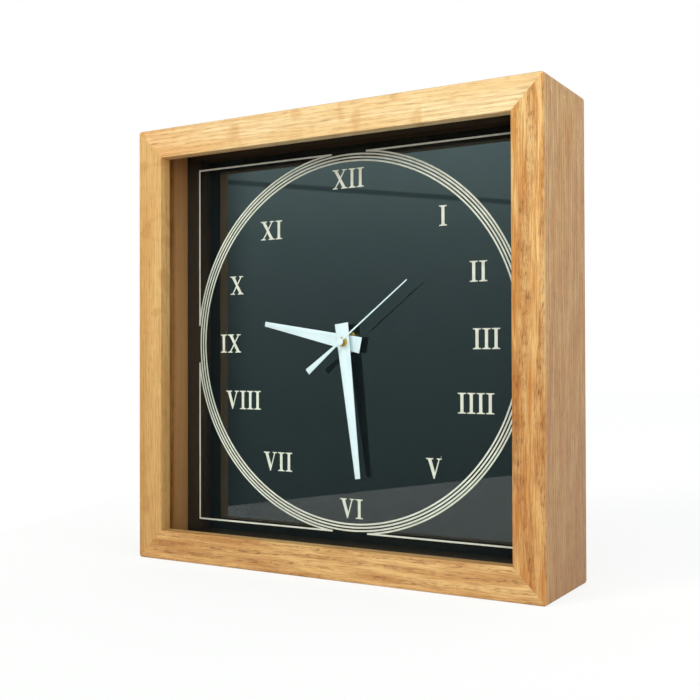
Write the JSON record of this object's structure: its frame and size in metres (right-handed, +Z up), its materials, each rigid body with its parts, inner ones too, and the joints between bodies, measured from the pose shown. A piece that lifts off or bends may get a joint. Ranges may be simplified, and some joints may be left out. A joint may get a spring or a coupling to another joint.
{
  "type": "word clock",
  "caption": "Square deep-framed wall clock: mitred oak shadow-box frame, glazed front, dark recessed dial, three flat tapered hands and a quartz movement behind.",
  "frame": {"origin": "middle of the underside of the frame", "axes": "+X to the viewer's right, +Y from the glazed front to the back, +Z up"},
  "size_m": [0.2666, 0.0636, 0.2667],
  "materials": {
    "oak": "satin oiled",
    "wood_filler": "matt",
    "spacer_wood": "matt",
    "strip_wood": "sawn",
    "hardboard": "matt",
    "glass": "clear",
    "dial_black": "matt printed card",
    "steel_wire": "drawn",
    "hanger_steel": "zinc plated",
    "brass": "turned",
    "rubber": "matt",
    "case_plastic": "moulded",
    "gear_plastic": "moulded",
    "knob_plastic": "moulded",
    "hand_white": "white paint",
    "arbor_steel": "polished",
    "magnet": "sintered",
    "stator_iron": "bright",
    "copper_wire": "enamelled",
    "bobbin_plastic": "moulded",
    "circuit_green": "lacquered",
    "chip_black": "resin",
    "crystal_can": "bright",
    "contact_steel": "nickel plated",
    "cell_jacket": "plain jacket"
  },
  "bodies": {
    "clock_body": {"frame_rail_top": "oak", "frame_rail_bottom": "oak", "frame_rail_left": "oak", "frame_rail_right": "oak", "corner_brads": "steel_wire", "brad_fillers": "wood_filler", "glass_pane": "glass", "spacer_top": "spacer_wood", "spacer_bottom": "spacer_wood", "spacer_left": "spacer_wood", "spacer_right": "spacer_wood", "dial_face": "dial_black", "backing_board": "hardboard", "retainer_top": "strip_wood", "retainer_bottom": "strip_wood", "retainer_left": "strip_wood", "retainer_right": "strip_wood", "strip_brads": "steel_wire", "sawtooth_hanger": "hanger_steel", "hanger_nails": "steel_wire", "threaded_bush": "brass", "bush_washer": "brass", "bush_nut": "brass", "rubber_gasket": "rubber", "movement_case_front": "case_plastic", "movement_cover": "case_plastic", "train_plate": "gear_plastic", "stator": "stator_iron", "coil_core": "stator_iron", "coil_bobbin": "bobbin_plastic", "coil_winding": "copper_wire", "circuit_board": "circuit_green", "timing_chip": "chip_black", "quartz_crystal": "crystal_can", "contact_positive": "contact_steel", "contact_negative": "contact_steel"},
    "second_group": {"second_hand": "hand_white", "second_sleeve": "brass", "seconds_arbor": "arbor_steel", "seconds_wheel": "gear_plastic"},
    "rotor_group": {"rotor_pinion": "gear_plastic", "rotor_magnet": "magnet"},
    "intermediate_group": {"intermediate_wheel": "gear_plastic"},
    "third_group": {"third_wheel": "gear_plastic"},
    "centre_group": {"centre_wheel": "gear_plastic"},
    "minute_group": {"minute_hand": "hand_white", "minute_nut": "brass", "minute_arbor": "brass"},
    "hour_group": {"hour_hand": "hand_white", "hour_wheel": "gear_plastic"},
    "setting_group": {"setting_wheel": "gear_plastic"},
    "knob_group": {"setting_knob": "knob_plastic", "setting_pinion": "knob_plastic"},
    "battery_group": {"battery_cell": "cell_jacket"}
  },
  "joints": [
    {"name": "second_hand_spin", "type": "hinge", "parent": "clock_body", "child": "second_group", "pos_m": [0, 0, 0.13335], "axis": [0, 1, 0], "continuous": true},
    {"name": "rotor_spin", "type": "hinge", "parent": "clock_body", "child": "rotor_group", "pos_m": [0.01073, 0, 0.14157], "axis": [0, 1, 0], "continuous": true},
    {"name": "intermediate_spin", "type": "hinge", "parent": "clock_body", "child": "intermediate_group", "pos_m": [0.00827, 0, 0.13481], "axis": [0, 1, 0], "continuous": true},
    {"name": "third_spin", "type": "hinge", "parent": "clock_body", "child": "third_group", "pos_m": [-0.00721, 0, 0.14056], "axis": [0, 1, 0], "continuous": true},
    {"name": "centre_spin", "type": "hinge", "parent": "clock_body", "child": "centre_group", "pos_m": [0, 0, 0.13335], "axis": [0, 1, 0], "continuous": true},
    {"name": "minute_hand_spin", "type": "hinge", "parent": "clock_body", "child": "minute_group", "pos_m": [0, 0, 0.13335], "axis": [0, 1, 0], "continuous": true},
    {"name": "setting_wheel_spin", "type": "hinge", "parent": "clock_body", "child": "setting_group", "pos_m": [-0.00846, 0, 0.13027], "axis": [0, 1, 0], "continuous": true},
    {"name": "setting_knob_spin", "type": "hinge", "parent": "clock_body", "child": "knob_group", "pos_m": [-0.01691, 0, 0.12719], "axis": [0, 1, 0], "continuous": true},
    {"name": "hour_hand_spin", "type": "hinge", "parent": "clock_body", "child": "hour_group", "pos_m": [0, 0, 0.13335], "axis": [0, 1, 0], "continuous": true},
    {"name": "battery_slide", "type": "slide", "parent": "clock_body", "child": "battery_group", "axis": [0, 1, 0], "range_m": [0, 0.02]}
  ],
  "couplings": [
    {"joint": "rotor_spin", "follows": "second_hand_spin", "ratio": 30},
    {"joint": "intermediate_spin", "follows": "second_hand_spin", "ratio": -6},
    {"joint": "third_spin", "follows": "second_hand_spin", "ratio": -0.13333},
    {"joint": "centre_spin", "follows": "second_hand_spin", "ratio": 0.016667},
    {"joint": "setting_wheel_spin", "follows": "minute_hand_spin", "ratio": -0.33333},
    {"joint": "hour_hand_spin", "follows": "minute_hand_spin", "ratio": 0.083333},
    {"joint": "setting_knob_spin", "follows": "minute_hand_spin", "ratio": 1}
  ]
}
